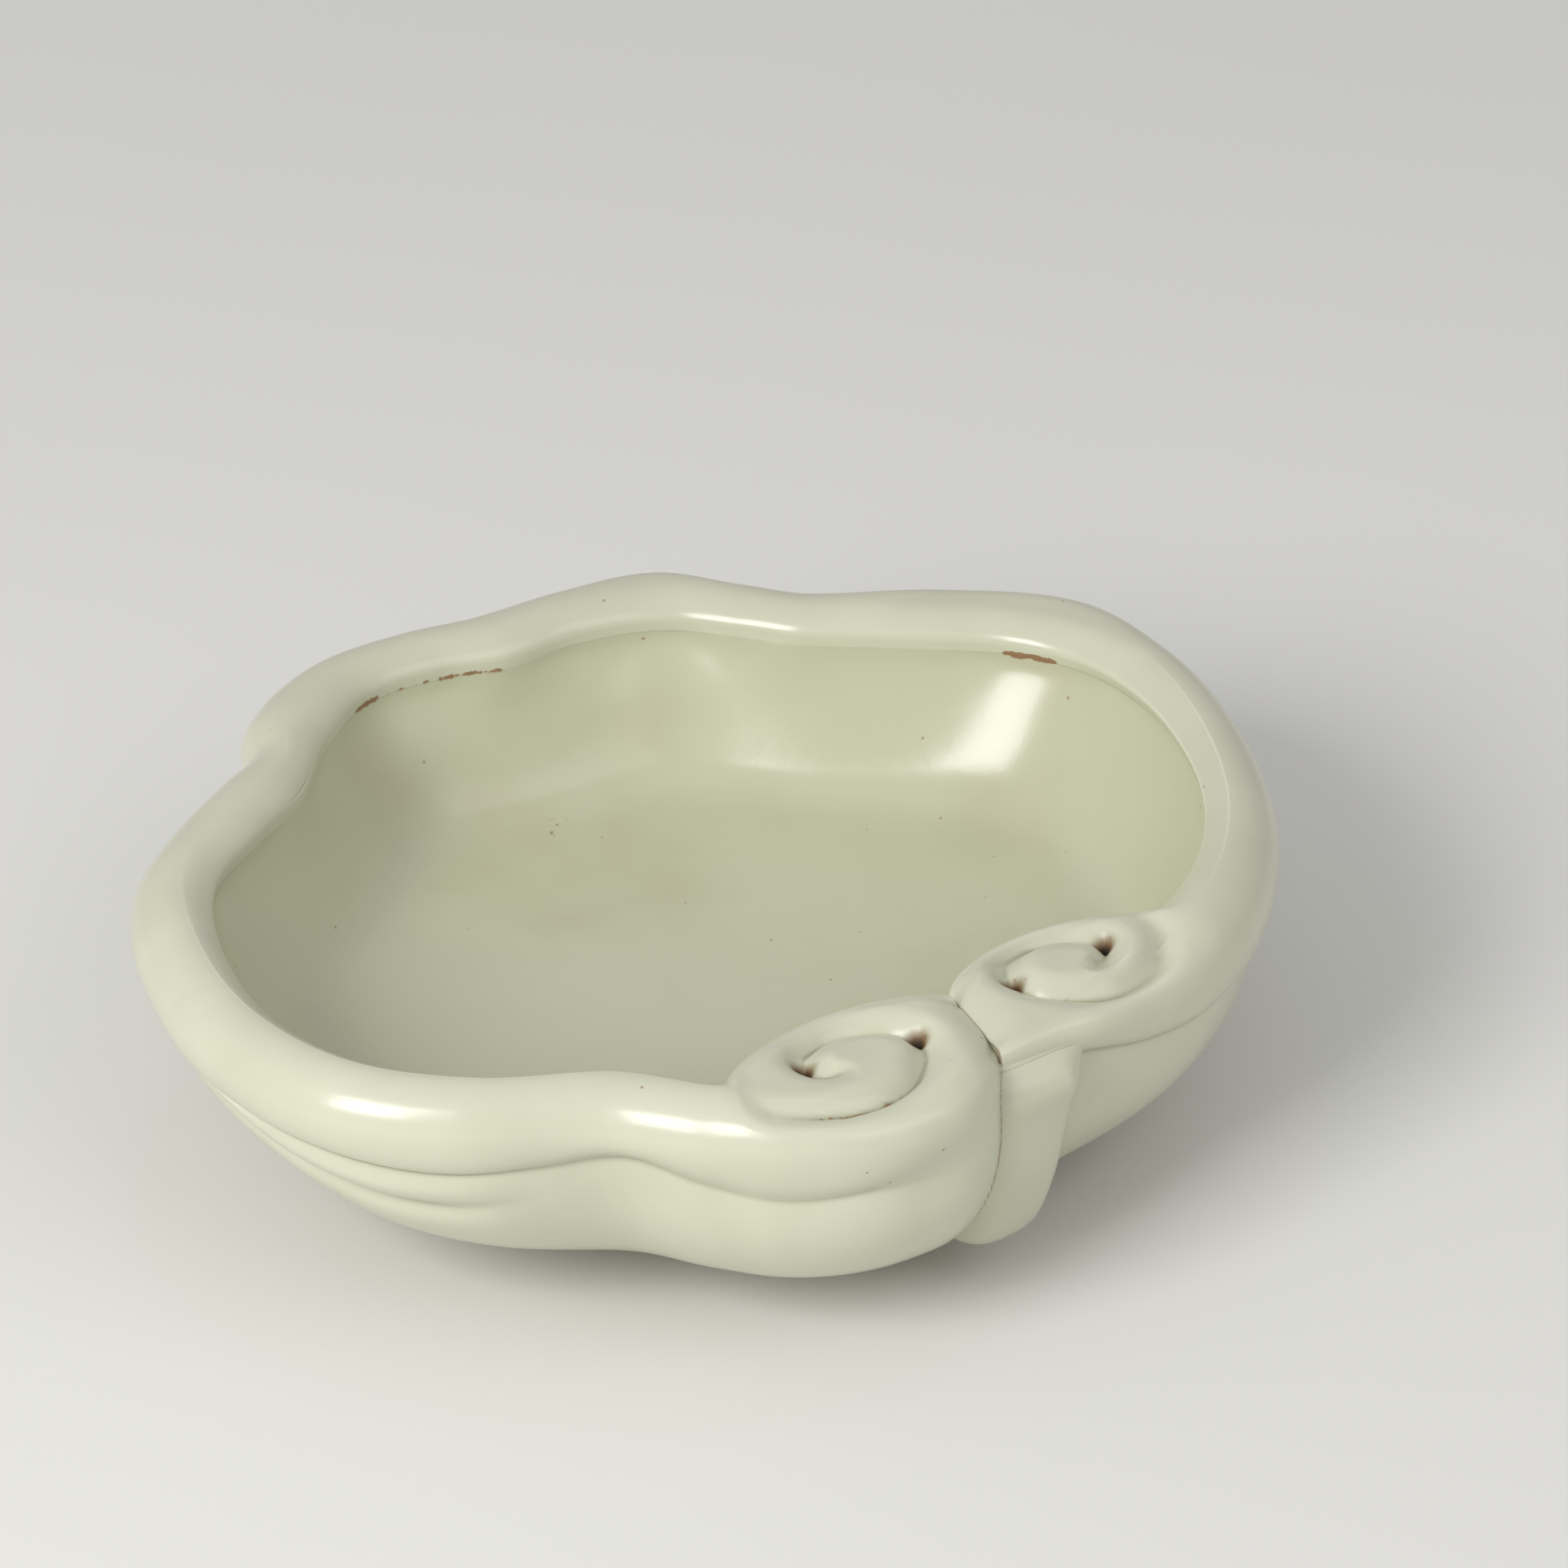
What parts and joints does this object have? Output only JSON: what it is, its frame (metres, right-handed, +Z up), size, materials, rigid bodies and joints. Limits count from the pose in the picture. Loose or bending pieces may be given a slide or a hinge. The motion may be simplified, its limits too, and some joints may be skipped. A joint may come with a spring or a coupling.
{
  "type": "brush washer",
  "caption": "Shallow lobed celadon brush washer shaped like a fungus head, with a rolled rim that curls into scrolls at the front above a short stalk.",
  "frame": {"origin": "middle of the washer's box, on the table", "axes": "+Z up out of the bowl, -Y towards the scrolls and the stalk, +X along the longest side"},
  "size_m": [0.2191, 0.1933, 0.056],
  "materials": {
    "glaze": "glossy grey-green celadon glaze",
    "biscuit": "unglazed fired clay"
  },
  "bodies": {
    "root": {"foot_ring": "biscuit", "floor_slab": "glaze", "bowl_wall": "glaze", "rim_roll": "glaze", "left_scroll": "glaze", "right_scroll": "glaze", "stalk": "glaze"}
  },
  "joints": []
}
